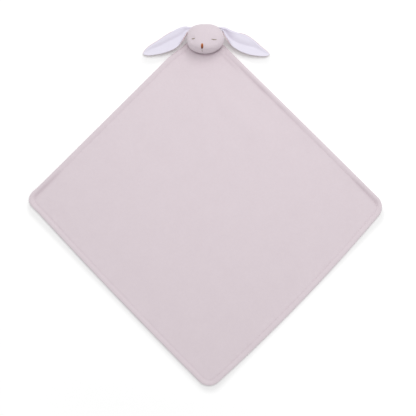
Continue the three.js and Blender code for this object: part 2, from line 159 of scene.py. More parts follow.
# how much the nap, the tufts and the fibres each count in the tone of the pile
nap_weight, tuft_weight, fibre_weight = 0.35, 0.4, 0.9
pile_roughness = 0.86
fibre_roughness = 0.2
tuft_relief = 0.6


def velour(name, light, dark, nap_size, tuft_size, sheen=0.25, painted_shade=None):
    """Velour between a light and a dark tone; where the piece's painted-shade attribute is 1, the pile is
    darkened by painted shade.
    """
    finish = Finish(bpy.data.materials.new(name))
    nap = finish.speckle(nap_size, detail=3.0)
    tufts = finish.speckle(tuft_size, detail=2.0)
    fibres = finish.speckle(fibre_size, detail=1.0)
    tone = (nap - 0.5) * nap_weight + (tufts - 0.5) * tuft_weight + (fibres - 0.5) * fibre_weight + 0.5
    pile = finish.blend(tone, dark, light)
    # painted shade: where the attribute is set, the pile is blended towards a shade colour
    if painted_shade:
        pile = finish.blend(finish.node("Attribute", {"attribute_name": "painted_shade"}, output=2), pile, painted_shade)
    finish.set(base_color=pile, roughness=pile_roughness + (fibres - 0.5) * fibre_roughness)
    finish.set(sheen_weight=sheen, sheen_roughness=0.45, specular_ior_level=0.15)
    finish.bump(tufts * tuft_relief + fibres * (1 - tuft_relief), strength=0.3, distance=0.0006)
    return finish.owner


# Blanket panels. Two squares of the same pink velour, sewn face to face round their edges and
# turned right side out, so both allowances lie folded in between and puff up the border. A row of
# topstitching holds them there. The back panel lies flat on the floor.
ply = 0.0016
pressed_ply = 0.0014
ply_gap = 0.0003
ply_pitch = ply + ply_gap
blanket_wide = 0.7456
blanket_long = 0.7785
corner_radius = 0.036
side_sway = 0.0116
# how far each side bulges, in shares of side_sway: at its upper end, its middle and its lower end
upper_left_sway = (0.3, 0.05, -0.2)
upper_right_sway = (0.3, 0.3, 0.05)
lower_left_sway = (-0.5, 0.45, 0.55)
lower_right_sway = (-0.55, 1.0, 0.15)
# the left corner is turned out more sharply than the other two, and is pushed out this far
left_corner_push = 0.0060
left_corner_reach = 0.035
# beside the head the upper left side is drawn in by the neck's stitches, between these shares down it
neck_draw = 0.0073
neck_draw_shares = (0.11, 0.20)
neck_draw_fade = 6
allowance = 0.010
topstitch_inset = 0.0155
border_top = 3 * ply_pitch + ply
field_top = ply_pitch + ply
edge_full_share = 0.82
border_crest = 0.0065
border_ease = 0.0095
border_ease_from = 0.00455
border_ease_power = 1.6
border_fold_steps = 6
border_span_rows = 5
# how many nips short of the topstitch its open rows stop, and how many past it they start again
rows_stop_short = 1.7
rows_start_past = 2
stitch_nip = 0.0008
stitch_nip_wide = 0.0026
under_nip = 0.0004
field_inset = 0.034
field_step = 0.0054
fine_step = 0.0027
fine_reach = 0.100
blanket_pink = colour(225, 213, 219)
blanket_pink_deep = colour(214, 201, 207)
# the colour of the painted shade in the fold beside the topstitch
blanket_pink_painted_shade = colour(196, 181, 188)


def clamped(share):
    return min(1.0, max(0.0, share))


def between(low, high, share):
    return low + (high - low) * share


def fade(offset, reach):
    """1 at no offset, falling softly to almost nothing two reaches away."""
    return math.exp(-(offset / reach) ** 2)


def smoothstep(at, low, high):
    share = clamped((at - low) / (high - low))
    return share * share * (3 - 2 * share)


def band(at, first, opened, closed, last):
    """Rises from 0 to 1 between the first two places, and falls back between the last two."""
    return smoothstep(at, first, opened) * (1 - smoothstep(at, closed, last))


def nip(inset):
    """How near an inset is to the topstitch, which draws the plush in on both sides of it."""
    return fade(inset - topstitch_inset, stitch_nip_wide)


def front_height(inset):
    """The front's outer face: it rises from the seam, then falls softly past the topstitch."""
    rise = between(edge_full_share, 1, smoothstep(inset, 0, border_crest))
    fall = 1 - math.exp(-(max(0.0, inset - border_ease_from) / border_ease) ** border_ease_power)
    return between(border_top, field_top, fall) * rise


def back_height(inset):
    return under_nip * nip(inset)


def crush(inset):
    """How much the plies round the allowances are squeezed by the seam and by the topstitch."""
    return front_height(min(inset, allowance)) / border_top


def ply_depth(inset):
    eased = between(crush(inset), 1, smoothstep(inset, allowance, topstitch_inset))
    return ply * eased - (ply - pressed_ply) * nip(inset)


def border_rows(hook_height, outer_height, height_at):
    """Insets and heights of the outer face of the cloth, from its cut edge round to the open field."""
    radius = abs(outer_height - hook_height) * crush(0) / 2
    way = math.copysign(1, outer_height - hook_height)
    middle = (outer_height + hook_height) * crush(0) / 2
    rows = [(inset, hook_height * crush(inset)) for inset in (allowance, (allowance + radius) / 2)]
    for step in range(border_fold_steps + 1):
        turn = math.pi * step / border_fold_steps
        rows.append((radius - radius * math.sin(turn), middle - way * radius * math.cos(turn)))
    spans = ((2 * radius, topstitch_inset - rows_stop_short * stitch_nip_wide),
             (topstitch_inset - stitch_nip_wide, topstitch_inset + stitch_nip_wide),
             (topstitch_inset + rows_start_past * stitch_nip_wide, field_inset))
    return rows + [(inset, height_at(inset)) for low, high in spans
                   for inset in np.linspace(low, high, border_span_rows)]


def cloth_lines(side, rows):
    """Grid lines across a panel: the row of the border each lies on, and its place if laid flat."""
    nose = min(range(len(rows)), key=lambda k: rows[k][0])
    reach = [math.dist(rows[nose], rows[k]) for k in range(nose)]
    edge = [(k, side / 2 + past) for k, past in enumerate(reach)]
    edge += [(k, side / 2 - rows[k][0]) for k in range(nose, len(rows))]
    field = side / 2 - field_inset
    fine_from = field - fine_reach
    places = [*np.linspace(-field, fine_from, round((field + fine_from) / field_step) + 1)[1:],
              *np.linspace(fine_from, field, round(fine_reach / fine_step) + 1)[1:-1]]
    middle = [(len(rows) - 1, at) for at in places]
    return [(k, -at) for k, at in edge] + middle + [(k, at) for k, at in reversed(edge)]


def sway_at(sway, share):
    """How far a side bulges at a share of the way down it: a parabola through three shares."""
    upper, middle, lower = sway
    ends = upper * (1 - share) * (1 - 2 * share) + lower * share * (2 * share - 1)
    return side_sway * (ends + 4 * middle * share * (1 - share))


def swayed(across, along):
    """From the cut square to the cloth as it is laid out."""
    right = across / blanket_wide + 0.5
    left = along / blanket_long + 0.5
    out_across = right ** 2 * sway_at(upper_right_sway, 1 - left)
    in_across = (1 - right) ** 2 * sway_at(lower_left_sway, 1 - left)
    drawn = neck_draw * (1 - smoothstep(1 - right, *neck_draw_shares))
    out_along = left ** 2 * sway_at(upper_left_sway, 1 - right) - left ** neck_draw_fade * drawn
    in_along = (1 - left) ** 2 * sway_at(lower_right_sway, 1 - right)
    from_left = math.hypot(across + blanket_wide / 2, along - blanket_long / 2)
    push = left_corner_push * fade(from_left, left_corner_reach) * math.sqrt(0.5)
    return across + out_across - in_across - push, along + out_along - in_along + push


def as_diamond(across, along):
    """From the panel's own square to the floor, one corner towards +Y."""
    x, y = swayed(across, along)
    return (x - y) * math.sqrt(0.5), (x + y) * math.sqrt(0.5)


def laid_place(line_across, line_along, rows):
    """Where a crossing of two grid lines lies, how far in it is, and the border row it is on."""
    halves = (blanket_wide / 2, blanket_long / 2)
    flat = (line_across[1], line_along[1])
    row = min(line_across[0], line_along[0])
    depths = [half - abs(at) for half, at in zip(halves, flat)]
    inset = rows[row][0] if row < len(rows) - 1 else min(depths)
    centre = [math.copysign(half - corner_radius, at) for half, at in zip(halves, flat)]
    if max(depths) < corner_radius:
        out = Vector((flat[0] - centre[0], flat[1] - centre[1])).normalized() * (corner_radius - inset)
        return centre[0] + out.x, centre[1] + out.y, inset, row
    if depths[0] < depths[1]:
        return math.copysign(halves[0] - inset, flat[0]), flat[1], inset, row
    return flat[0], math.copysign(halves[1] - inset, flat[1]), inset, row


cloth_waves = (
    # from and to, in shares of the two sides, then height and half width
    ((0.40, 0.34), (0.04, 0.29), 0.0034, 0.030),
    ((0.33, 0.33), (0.14, 0.12), 0.0027, 0.027),
    ((0.36, 0.40), (0.33, 0.06), 0.0030, 0.029),
    ((-0.12, 0.30), (-0.34, -0.10), 0.0017, 0.062),
    ((0.24, -0.20), (-0.20, -0.34), 0.0019, 0.060),
)
wave_fade = 0.034
neck_low, neck_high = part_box("neck_seam_ring")
neck_middle = (neck_low + neck_high) / 2
neck_calm = 0.046
head_low, head_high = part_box("head_back_panel")
neck_lift = 0.0046
neck_lift_inside = 0.0045
neck_lift_outside = 0.0090
neck_lift_from_edge = 0.02
pinch_tall = 0.0016
pinch_low, pinch_gain = -0.4, 2
pinch_reach = 0.011
pinches_round = 4.5
pinch_seed = 2.6
# the pinches lie where the sine of the angle below the head is between these
pinch_sines = (0.45, 0.9)


def wave_lift(across, along, inset, x, y):
    """Soft folds of the laid-out cloth, dying out towards the topstitch and under the head."""
    calm = smoothstep(math.hypot(x - neck_middle.x, y - neck_middle.y), neck_calm, 2 * neck_calm)
    lift = 0.0
    for start, end, height, spread in cloth_waves:
        origin = Vector((start[0] * blanket_wide, start[1] * blanket_long))
        way = Vector((end[0] * blanket_wide, end[1] * blanket_long)) - origin
        offset = Vector((across, along)) - origin
        share = clamped(offset.dot(way) / way.length_squared)
        near = fade((offset - way * share).length, spread)
        lift = max(lift, height * near * (1 - share * share / 2))
    return lift * calm * smoothstep(inset, field_inset, field_inset + wave_fade)


def neck_swell(x, y):
    """The cloth rises against the foot of the head, and is pinched into small folds under its chin."""
    offset = Vector((x, y)) - (head_low + head_high).xy / 2
    halves = (head_high - head_low).xy / 2
    reach = math.hypot(offset.x / halves.x, offset.y / halves.y)
    past = (reach - 1) * halves.y
    spread = neck_lift_inside if past < 0 else neck_lift_outside
    turn = math.atan2(offset.y, offset.x)
    chin = smoothstep(-math.sin(turn), *pinch_sines)
    pinch = noise.noise(Vector((pinches_round * turn, pinch_seed, past / pinch_reach / 3)))
    pinch = pinch_tall * max(pinch_low, pinch_gain * pinch) * chin
    return neck_lift * fade(past, spread) + pinch * fade(past - pinch_reach / 2, pinch_reach)


pucker_tall = 0.0012
pucker_pitch = 0.013
pucker_reach = 0.013
pucker_corner = 0.050
stitch_nip_most = 1.5
# the pitch along a seam and the noise row of its slack, where it puckers and where it pulls
pucker_slack = (0.060, 0.5)
pull_slack = (0.0375, 4.5)
pull_swing = 0.9
upper_left_seed = 9
upper_right_seed = 13
# how hard the topstitch pulls: on the upper right side at its top and its foot, and on the others
stitch_pulls = (0.9, 0.15)
stitch_pull_shares = (0.28, 0.66)
other_pull = 0.12
# both upper sides are pulled in hard just above their lower corners, between these shares down them
corner_pull = 1.0
corner_pull_shares = (0.78, 0.89, 0.955, 0.985)
corner_slack_share = 0.3
side_slack_share = 0.45
pull_deep = 0.0016
pull_inset = 0.0145
pull_wide = 0.0055
# how dark the painted shade in the fold beside the topstitch is where the pull is deepest
pull_painted_shade = 0.62
pull_floor = 0.0032
# near the head the fold beside the stitches lies further in, at these shares down the upper right side
neck_fold_shares = (0.09, 0.115, 0.19, 0.24)
neck_fold_inset = 0.0250
neck_fold_wide = 0.0045
neck_fold_strength = 0.6
neck_fold_release = 0.75


def side_of(across, along):
    """The nearest side of the blanket: a seed for it, the way run along it, and how far off a corner is."""
    depths = (blanket_wide / 2 - abs(across), blanket_long / 2 - abs(along))
    run, side = (along, across) if depths[0] < depths[1] else (across, along)
    step = upper_right_seed - upper_left_seed if depths[0] < depths[1] else 0
    return math.copysign(upper_left_seed, side) + step, run, abs(depths[0] - depths[1])


def slack_at(run, seed, pitch, row, swing=1.0):
    """How loose a seam is at a place along it, from 0 to 1."""
    return clamped(0.5 + swing * noise.noise(Vector((run / pitch, seed, row))))


def stitch_pull(across, along, inset):
    """How deep the fold beside the topstitch is at a place, from 0 to 1, uneven along the seam."""
    seed, run, _ = side_of(across, along)
    slack = slack_at(run, seed, *pull_slack, pull_swing)
    beside = fade(inset - pull_inset, pull_wide)
    if seed not in (upper_left_seed, upper_right_seed):
        return other_pull * slack * beside
    down = 0.5 - run / (blanket_wide if seed == upper_left_seed else blanket_long)
    by_corner = corner_pull * band(down, *corner_pull_shares) * beside
    by_corner *= between(1 - corner_slack_share, 1, slack)
    if seed == upper_left_seed:
        return max(by_corner, other_pull * slack * beside)
    pull = between(*stitch_pulls, smoothstep(down, *stitch_pull_shares))
    shifted = band(down, *neck_fold_shares)
    further = neck_fold_strength * shifted * fade(inset - neck_fold_inset, neck_fold_wide)
    beside *= (1 - neck_fold_release * shifted) * between(1 - side_slack_share, 1, slack)
    return max(by_corner, pull * (beside + further))


def pucker_lift(across, along, inset):
    """The topstitch draws the cloth down unevenly, and small swells stand between its tight places."""
    seed, run, from_corner = side_of(across, along)
    slack = slack_at(run, seed, *pucker_slack)
    swell = 0.5 + noise.noise(Vector((run / pucker_pitch, seed, inset / pucker_reach / 2)))
    near = fade(inset - topstitch_inset, pucker_reach) * smoothstep(inset, 0, border_crest)
    calm = smoothstep(from_corner, 0, pucker_corner)
    lift = pucker_tall * max(0.0, swell) * near * calm - stitch_nip * nip(inset) * (stitch_nip_most - slack)
    return lift - pull_deep * stitch_pull(across, along, inset)


def lay_panel(rows, front):
    """The outer face of a panel, as a grid bent into place."""
    wide_lines = cloth_lines(blanket_wide, rows)
    long_lines = cloth_lines(blanket_long, rows)
    bm = bmesh.new()
    bmesh.ops.create_grid(bm, x_segments=len(wide_lines) - 1, y_segments=len(long_lines) - 1, size=0.5)
    inset_layer = bm.verts.layers.float.new("inset")
    row_layer = bm.verts.layers.int.new("row")
    painted_shade_layer = bm.verts.layers.float.new("painted_shade")
    first_open_row = 2 + border_fold_steps
    for v in bm.verts:
        across_line = wide_lines[round((v.co.x + 0.5) * (len(wide_lines) - 1))]
        along_line = long_lines[round((v.co.y + 0.5) * (len(long_lines) - 1))]
        across, along, inset, row = laid_place(across_line, along_line, rows)
        x, y = as_diamond(across, along)
        height = rows[row][1]
        if front and row >= first_open_row:
            height += pucker_lift(across, along, inset)
            height += neck_swell(x, y) * smoothstep(inset, 0, neck_lift_from_edge)
            # painted shade: the fold beside the topstitch is darkened in colour as far as it is pulled down
            v[painted_shade_layer] = pull_painted_shade * stitch_pull(across, along, inset)
        if front and row == len(rows) - 1:
            height += wave_lift(across, along, inset, x, y)
        if front and inset > allowance:
            height = max(height, pull_floor)
        v.co = (x, y, height)
        v[inset_layer] = inset
        v[row_layer] = row
    if not front:
        bmesh.ops.reverse_faces(bm, faces=bm.faces)
    return bm


def solid_sheet(bm, depth_at):
    """Closes an open sheet into a ply: a copy of it is sunk by its depth, and the rims are bridged."""
    bm.normal_update()
    number = bm.verts.layers.int.new("number")
    sunk = []
    for v in bm.verts:
        v[number] = len(sunk)
        sunk.append(v.normal * depth_at(v))
    rim = [e for e in bm.edges if e.is_boundary]
    copied = bmesh.ops.duplicate(bm, geom=bm.faces[:])["geom"]
    verts, edges, faces = ([part for part in copied if isinstance(part, kind)]
                           for kind in (bmesh.types.BMVert, bmesh.types.BMEdge, bmesh.types.BMFace))
    for v in verts:
        v.co -= sunk[v[number]]
    bmesh.ops.reverse_faces(bm, faces=faces)
    bmesh.ops.bridge_loops(bm, edges=rim + [e for e in edges if e.is_boundary])
    bmesh.ops.recalc_face_normals(bm, faces=bm.faces)


def finished_piece(bm, name, material, smooth=True):
    mesh = bpy.data.meshes.new(name)
    bm.to_mesh(mesh)
    bm.free()
    return placed_mesh(mesh, name, material, smooth)


def placed(name, data):
    holder = bpy.data.objects.new(name, data)
    bpy.context.scene.collection.objects.link(holder)
    return holder


def placed_mesh(mesh, name, material, smooth=True):
    if material:
        mesh.materials.append(material)
    if smooth:
        mesh.shade_smooth()
    return placed(name, mesh)


blanket_velour = velour("blanket_velour", blanket_pink, blanket_pink_deep, nap_size=0.055, tuft_size=0.007,
                        painted_shade=blanket_pink_painted_shade)


def stitch_line(bm, rows):
    """The points of the topstitch row, in order round the panel."""
    row_layer = bm.verts.layers.int["row"]
    stitch_row = max(range(len(rows)), key=lambda k: nip(rows[k][0]))
    points = [v.co.copy() for v in bm.verts if v[row_layer] == stitch_row]
    return sorted(points, key=lambda p: math.atan2(p.y, p.x))


def blanket_panel(name, rows, front):
    bm = lay_panel(rows, front)
    inset_layer = bm.verts.layers.float["inset"]
    line = stitch_line(bm, rows)
    solid_sheet(bm, lambda v: ply_depth(v[inset_layer]))
    return finished_piece(bm, name, blanket_velour), line


front_rows = border_rows(2 * ply_pitch, border_top, front_height)
back_rows = border_rows(ply_pitch + ply, 0.0, back_height)
cut_extra = sum(math.dist(a, b) for a, b in zip(front_rows, front_rows[1:])) - field_inset
front_panel, front_line = blanket_panel("blanket_front_velour", front_rows, front=True)
back_panel, back_line = blanket_panel("blanket_back_velour", back_rows, front=False)
for panel, node in ((front_panel, "blanket_front_panel"), (back_panel, "blanket_back_panel")):
    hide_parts(node)
    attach(panel, "blanket")


# Topstitching. One row of matching pink polyester thread runs round the blanket through both
# panels, locked in the middle, so each side shows a line of short stitches sunk in the plush.
topstitch_long = 0.0036
topstitch_gap = 0.0005
topstitch_thick = 0.0004
topstitch_rise = 0.0002
thread_end_share = 0.45
# along a stitch, the shares at which it leaves the cloth, lies on it and enters it again
stitch_bends = (0, 0.15, 0.85, 1)


def thread(name, runs, thick, material):
    """Stitches: a length of round thread along each run of points, thinner where it enters the cloth."""
    drawing = bpy.data.curves.new(name, "CURVE")
    drawing.dimensions = "3D"
    drawing.bevel_depth = thick / 2
    drawing.bevel_resolution = 1
    drawing.use_fill_caps = True
    for run in map(list, runs):
        spline = drawing.splines.new("POLY")
        spline.points.add(len(run) - 1)
        for point, place in zip(spline.points, run):
            point.co = (*place, 1)
        spline.points[0].radius = thread_end_share
        spline.points[-1].radius = thread_end_share
    holder = bpy.data.objects.new(name, drawing)
    mesh = bpy.data.meshes.new_from_object(holder)
    bpy.data.objects.remove(holder)
    return placed_mesh(mesh, name, material)


thread_twist = 0.0004
thread_lean = (0.4, 0.3, 0.6)
thread_wear_size = 0.002
ply_highlight_weight = 0.6
# the length of one wave of a Wave texture at a scale of 1
wave_long = 0.3


def thread_finish(name, light, dark):
    """Twisted polyester thread: fine slanting ply lines, with a painted highlight on their ridges."""
    finish = Finish(bpy.data.materials.new(name))
    slanted = finish.node("Mapping", None, {"Vector": finish.place(), "Rotation": thread_lean})
    plies = finish.node("TexWave", {"bands_direction": "DIAGONAL"},
                        {"Vector": slanted, "Scale": wave_long / thread_twist, "Distortion": 1.5}, output=1)
    wear = finish.speckle(thread_wear_size)
    # the ply ridges are lighter in colour: a painted highlight
    tone = plies * ply_highlight_weight + wear * (1 - ply_highlight_weight)
    finish.set(base_color=finish.blend(tone, dark, light), roughness=0.5)
    finish.set(sheen_weight=0.2, specular_ior_level=0.3)
    finish.bump(plies, strength=0.5, distance=0.0001)
    return finish.owner


def topstitches(line, rise):
    """Stitches of one length, with a gap between them, along a closed line of points."""
    points = np.array([*line, line[0]])
    at = np.concatenate([[0], np.cumsum(np.linalg.norm(np.diff(points, axis=0), axis=1))])
    count = round(at[-1] / (topstitch_long + topstitch_gap))
    pitch = at[-1] / count
    lifts = (-rise, rise, rise, -rise)
    for k in range(count):
        steps = [k * pitch + (pitch - topstitch_gap) * share for share in stitch_bends]
        x, y, z = (np.interp(steps, at, points[:, axis]) for axis in range(3))
        yield zip(x, y, z + lifts)


pink_thread = thread_finish("pink_topstitch_thread", colour(220, 204, 212), colour(200, 182, 191))
for name, line, rise in (("front_topstitches", front_line, topstitch_rise),
                         ("back_topstitches", back_line, -topstitch_rise / 2)):
    stitches = thread(name, topstitches(line, rise), topstitch_thick, pink_thread)
    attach(stitches, "blanket")


# Neck. The head's back is drawn together by a ring of gathers and ladder-stitched to the blanket
# near its top corner, so the ring gives like a short bellows when the head turns or nods.
neck_radius = (neck_high.x - neck_low.x) / 2
neck_wall = 0.0034
neck_pleats = 26
neck_ruffle = 0.0006
neck_ruffle_swing = 0.3
neck_ruffle_swings = 3
neck_wall_steps = 14
neck_steps = 182
bm = bmesh.new()
ring_half = (neck_high.z - neck_low.z) / 2
bmesh.ops.create_circle(bm, segments=neck_wall_steps, radius=1.0)
bmesh.ops.scale(bm, vec=(neck_wall / 2, ring_half, 1), verts=bm.verts)
bmesh.ops.rotate(bm, matrix=Matrix.Rotation(math.pi / 2, 3, "X"), verts=bm.verts)
bmesh.ops.translate(bm, vec=(neck_radius - neck_wall / 2, 0, 0), verts=bm.verts)
bmesh.ops.spin(bm, geom=bm.verts[:] + bm.edges[:], axis=(0, 0, 1), angle=math.tau, steps=neck_steps,
               use_merge=True)
bmesh.ops.remove_doubles(bm, verts=bm.verts, dist=1e-6)
bmesh.ops.recalc_face_normals(bm, faces=bm.faces)
for v in bm.verts:
    turn = math.atan2(v.co.y, v.co.x)
    uneven = 1 + neck_ruffle_swing * math.sin(neck_ruffle_swings * turn)
    pleat = neck_ruffle * math.cos(neck_pleats * turn) * uneven
    v.co.x += pleat * math.cos(turn)
    v.co.y += pleat * math.sin(turn)
    v.co += neck_middle
neck_gathers = finished_piece(bm, "neck_gathers", blanket_velour)
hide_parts("neck_seam_ring")
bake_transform(neck_gathers, "neck", "head", start=(neck_middle.x, neck_middle.y, neck_low.z),
         end=(neck_middle.x, neck_middle.y, neck_high.z))


# Head. Two cups of the pink velour, face and back, sewn together round the sides over a ball of
# fibre. The muzzle is sculpted by the cut of the face, with a tuck under the mouth, and the
# embroidered eyes pull the plush in a little.
face_low, face_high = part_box("face_panel")
back_low, back_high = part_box("head_back_panel")
head_x, head_y, _ = (face_low + face_high) / 2
head_half_wide = (face_high.x - face_low.x) / 2
head_half_tall = (face_high.y - face_low.y) / 2
side_seam_z = (back_high.z + face_low.z) / 2
back_depth = side_seam_z - back_low.z
face_depth = 0.031
head_squareness = 2.25
crown_squareness = 0.22
left_squareness = 0.24
face_fullness = 2.35
chin_fullness = 0.42
chin_trim = 0.034
back_fullness = 2.25
back_flat_share = 0.76
muzzle_rise = 0.0045
muzzle_wide = 0.021
muzzle_tall = 0.014
muzzle_at = Vector((-0.0085, -0.0295))
muzzle_fade = 4
tuck_reach_share = 0.915
tuck_aim = -6
tuck_spread = 30
tuck_fade = 22
tuck_wide = 0.0014
tuck_deep = 0.0010
tuck_draw_share = 0.010
seam_draw = 0.0009
seam_draw_wide = 0.0030
eye_places = {"left": Vector((-0.0358, -0.0066)), "right": Vector((0.0252, -0.0098))}
eye_dimple = 0.0014
eye_dimple_wide = 0.0065
held_seam_wide = 0.0012
held_back_share = 0.6
held_eye_wide = 0.004
held_eye_tall = 0.003


def head_outline(turn):
    """The head from above: a squared ellipse, squarest at the crown and on its left."""
    squareness = head_squareness + crown_squareness * math.sin(turn) - left_squareness * math.cos(turn)
    x, y = (math.copysign(abs(at) ** (2 / squareness), at) for at in (math.cos(turn), math.sin(turn)))
    return Vector((head_half_wide * x, head_half_tall * y * (1 - chin_trim * max(0.0, -y) ** 2)))


def bell(x, y, middle, wide, tall):
    return fade(x - middle.x, wide) * fade(y - middle.y, tall)


def tuck_share(turn, reach):
    """How near a place on the face is to the tuck under the mouth, which runs along its lower rim."""
    from_foot = abs(math.degrees(math.remainder(turn + math.pi / 2, math.tau)) - tuck_aim)
    near = fade((reach - tuck_reach_share) * head_half_tall, tuck_wide)
    return near * (1 - smoothstep(from_foot, tuck_spread, tuck_spread + tuck_fade))


def rounded(reach, fullness):
    """The height of a full, rounded form over a share of the way out to its rim."""
    return max(0.0, 1 - reach ** fullness) ** (1 / fullness)


def head_place(way):
    """From a direction on a ball to the head's surface, measured from the middle of its side seam."""
    reach = math.sqrt(max(0.0, 1 - way.z * way.z))
    turn = math.atan2(way.y, way.x)
    x, y = head_outline(turn) * reach
    if way.z < 0:
        rounding = rounded(reach, back_fullness) / rounded(back_flat_share, back_fullness)
        return Vector((x, y, -back_depth * min(1.0, rounding)))
    tuck = tuck_share(turn, reach)
    x, y = (at * (1 - tuck_draw_share * tuck) for at in (x, y))
    height = rounded(reach, face_fullness - chin_fullness * math.sin(turn))
    swell = muzzle_rise * bell(x, y, muzzle_at, muzzle_wide, muzzle_tall) * (1 - reach ** muzzle_fade)
    dimples = sum(bell(x, y, eye, eye_dimple_wide, eye_dimple_wide) for eye in eye_places.values())
    sunk = eye_dimple * dimples + tuck_deep * tuck
    return Vector((x, y, face_depth * height + swell - sunk * math.sqrt(height)))


bm = bmesh.new()
bmesh.ops.create_icosphere(bm, subdivisions=6, radius=1.0)
bmesh.ops.bisect_plane(bm, geom=bm.verts[:] + bm.edges[:] + bm.faces[:], dist=1e-4,
                       plane_co=(0, 0, 0), plane_no=(0, 0, 1))
for v in bm.verts:
    v.co = head_place(v.co.normalized()) + Vector((head_x, head_y, side_seam_z))
head_velour = velour("head_velour", colour(222, 210, 216), colour(210, 198, 205), 0.04, 0.005,
                     sheen=0.45)
head_form = finished_piece(bm, "head_form", None)


def head_held(v):
    """How firmly a point of the head is held while it is stuffed: at its seams and stitches."""
    x = v.co.x - head_x
    y = v.co.y - head_y
    seam = fade(v.co.z - side_seam_z, held_seam_wide)
    if v.co.z < side_seam_z - held_back_share * back_depth:
        return 1.0
    if v.co.z < side_seam_z:
        return seam
    reach = math.hypot(x / head_half_wide, y / head_half_tall)
    stitches = sum(bell(x, y, eye, held_eye_wide, held_eye_tall) for eye in eye_places.values())
    return min(1.0, seam + stitches + tuck_share(math.atan2(y, x), reach))


def settle(piece, held, frames, limit, **ways):
    """Runs the cloth solver on a piece and moves its points to where they settle, up to a limit."""
    cloth = piece.modifiers.new("settling", "CLOTH")
    group = piece.vertex_groups.new(name="held")
    for index, weight in enumerate(held):
        if weight > 0:
            group.add([index], weight, "REPLACE")
    cloth.settings.vertex_group_mass = "held"
    cloth.settings.effector_weights.gravity = 0
    for name, value in ways.items():
        setattr(cloth.settings, name, value)
    cloth.collision_settings.use_collision = False
    cloth.point_cache.frame_start = 1
    cloth.point_cache.frame_end = frames
    for step in range(1, frames + 1):
        bpy.context.scene.frame_set(step)
    settled = piece.evaluated_get(bpy.context.evaluated_depsgraph_get()).to_mesh()
    before = np.empty(len(piece.data.vertices) * 3, np.float32)
    after = np.empty_like(before)
    piece.data.vertices.foreach_get("co", before)
    settled.vertices.foreach_get("co", after)
    move = (after - before).reshape(-1, 3)
    length = np.linalg.norm(move, axis=1, keepdims=True)
    move *= np.minimum(1, limit / np.maximum(length, 1e-9))
    piece.modifiers.remove(cloth)
    piece.vertex_groups.remove(group)
    piece.data.vertices.foreach_set("co", (before.reshape(-1, 3) + move).astype(np.float32).ravel())
    piece.data.update()
    bpy.context.scene.frame_set(1)


settle(head_form, [head_held(v) for v in head_form.data.vertices], frames=16, limit=0.003,
       use_pressure=True, uniform_pressure_force=2.0, tension_stiffness=12, compression_stiffness=12,
       shear_stiffness=4, bending_stiffness=1.5, shrink_min=-0.01)


def head_cup(name, front):
    bm = bmesh.new()
    bm.from_mesh(head_form.data)
    bmesh.ops.bisect_plane(bm, geom=bm.verts[:] + bm.edges[:] + bm.faces[:], dist=1e-5,
                           plane_co=(0, 0, side_seam_z), plane_no=(0, 0, 1),
                           clear_inner=front, clear_outer=not front)
    for v in bm.verts:
        near = max(0.0, 1 - abs(v.co.z - side_seam_z) / seam_draw_wide)
        inwards = Vector((head_x - v.co.x, head_y - v.co.y, 0)).normalized()
        v.co += inwards * seam_draw * near * near
        v.co.z += (ply_gap / 2 if front else -ply_gap / 2) * near
    solid_sheet(bm, lambda v: ply)
    return finished_piece(bm, name, head_velour)


face_plush = head_cup("face_plush", front=True)
head_back_plush = head_cup("head_back_plush", front=False)
for cup, node in ((face_plush, "face_panel"), (head_back_plush, "head_back_panel")):
    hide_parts(node)
    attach(cup, "head")


# Stuffing. Crimped white polyester fibre, pushed in by the handful through a gap in the back until
# the head is firm. Only the plush round it holds it.
fibre_clearance = 0.0006
fibre_lump = 0.0004
fibre_lumps_a_metre = 300
bm = bmesh.new()
bm.from_mesh(head_form.data)
bm.normal_update()
for v in bm.verts:
    lump = fibre_lump * noise.noise(v.co * fibre_lumps_a_metre)
    v.co -= v.normal * (ply + fibre_clearance - lump)
fibre = Finish(bpy.data.materials.new("polyester_fibre"))
strands = fibre.speckle(0.0012, detail=6, stretch=(1, 0.3, 1))
fibre.set(base_color=fibre.blend(strands, colour(228, 226, 222), colour(250, 249, 246)), roughness=0.95)
fibre.bump(strands, strength=0.8, distance=0.001)
stuffing = finished_piece(bm, "head_fibre", fibre.owner)
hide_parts("head_stuffing")
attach(stuffing, "head")
bpy.data.objects.remove(head_form)


# Face embroidery. The nose is upright satin stitch in brown thread over a small pad, the mouth one
# long stitch down to the tuck, and each closed eye a low arc of short slanting stitches.
face_tree = BVHTree.FromPolygons([v.co for v in face_plush.data.vertices],
                                 [face.vertices for face in face_plush.data.polygons])
nose_middle = Vector((-0.0097, -0.0295))
nose_tall = 0.0145
nose_wide = 0.0066
nose_roundness = 3.2
nose_pad = 0.0010
nose_threads = 19
nose_thread_thick = 0.00046
nose_steps = 10
nose_ragged = 0.03
nose_wander = 0.00008
nose_end_power = 8
nose_streaks = 0.25
mouth_top = -0.0372
mouth_bottom = -0.0420
mouth_strands = 2
mouth_thick = 0.0005
mouth_pitch = 0.00045
# how high the mouth's thread stands along its length, in shares of half its thickness
mouth_lifts = (0, 1, 1.3, 1.3, 1, 0)
eye_longs = {"left": 0.0088, "right": 0.0142}
eye_talls = {"left": 0.0032, "right": 0.0025}
eye_sag = 0.0009
eye_stitch_lean = 0.0005
eye_thick = 0.00042
eye_stitch_pitch = 0.00036
eye_taper = 0.35
eye_ragged = 0.1
eye_stitch_rise = 0.9
embroidery_sink = 0.0003
eye_stitch_shares = (-1, -0.5, 0, 0.5, 1)
look_down_from = 0.05
stitch_wander = random.Random(11)


def on_face(x, y, lift):
    """The point above a place on the face, measured from the middle of the head."""
    start = Vector((head_x + x, head_y + y, face_high.z + look_down_from))
    place, normal, _, _ = face_tree.ray_cast(start, Vector((0, 0, -1)))
    return place + normal * lift


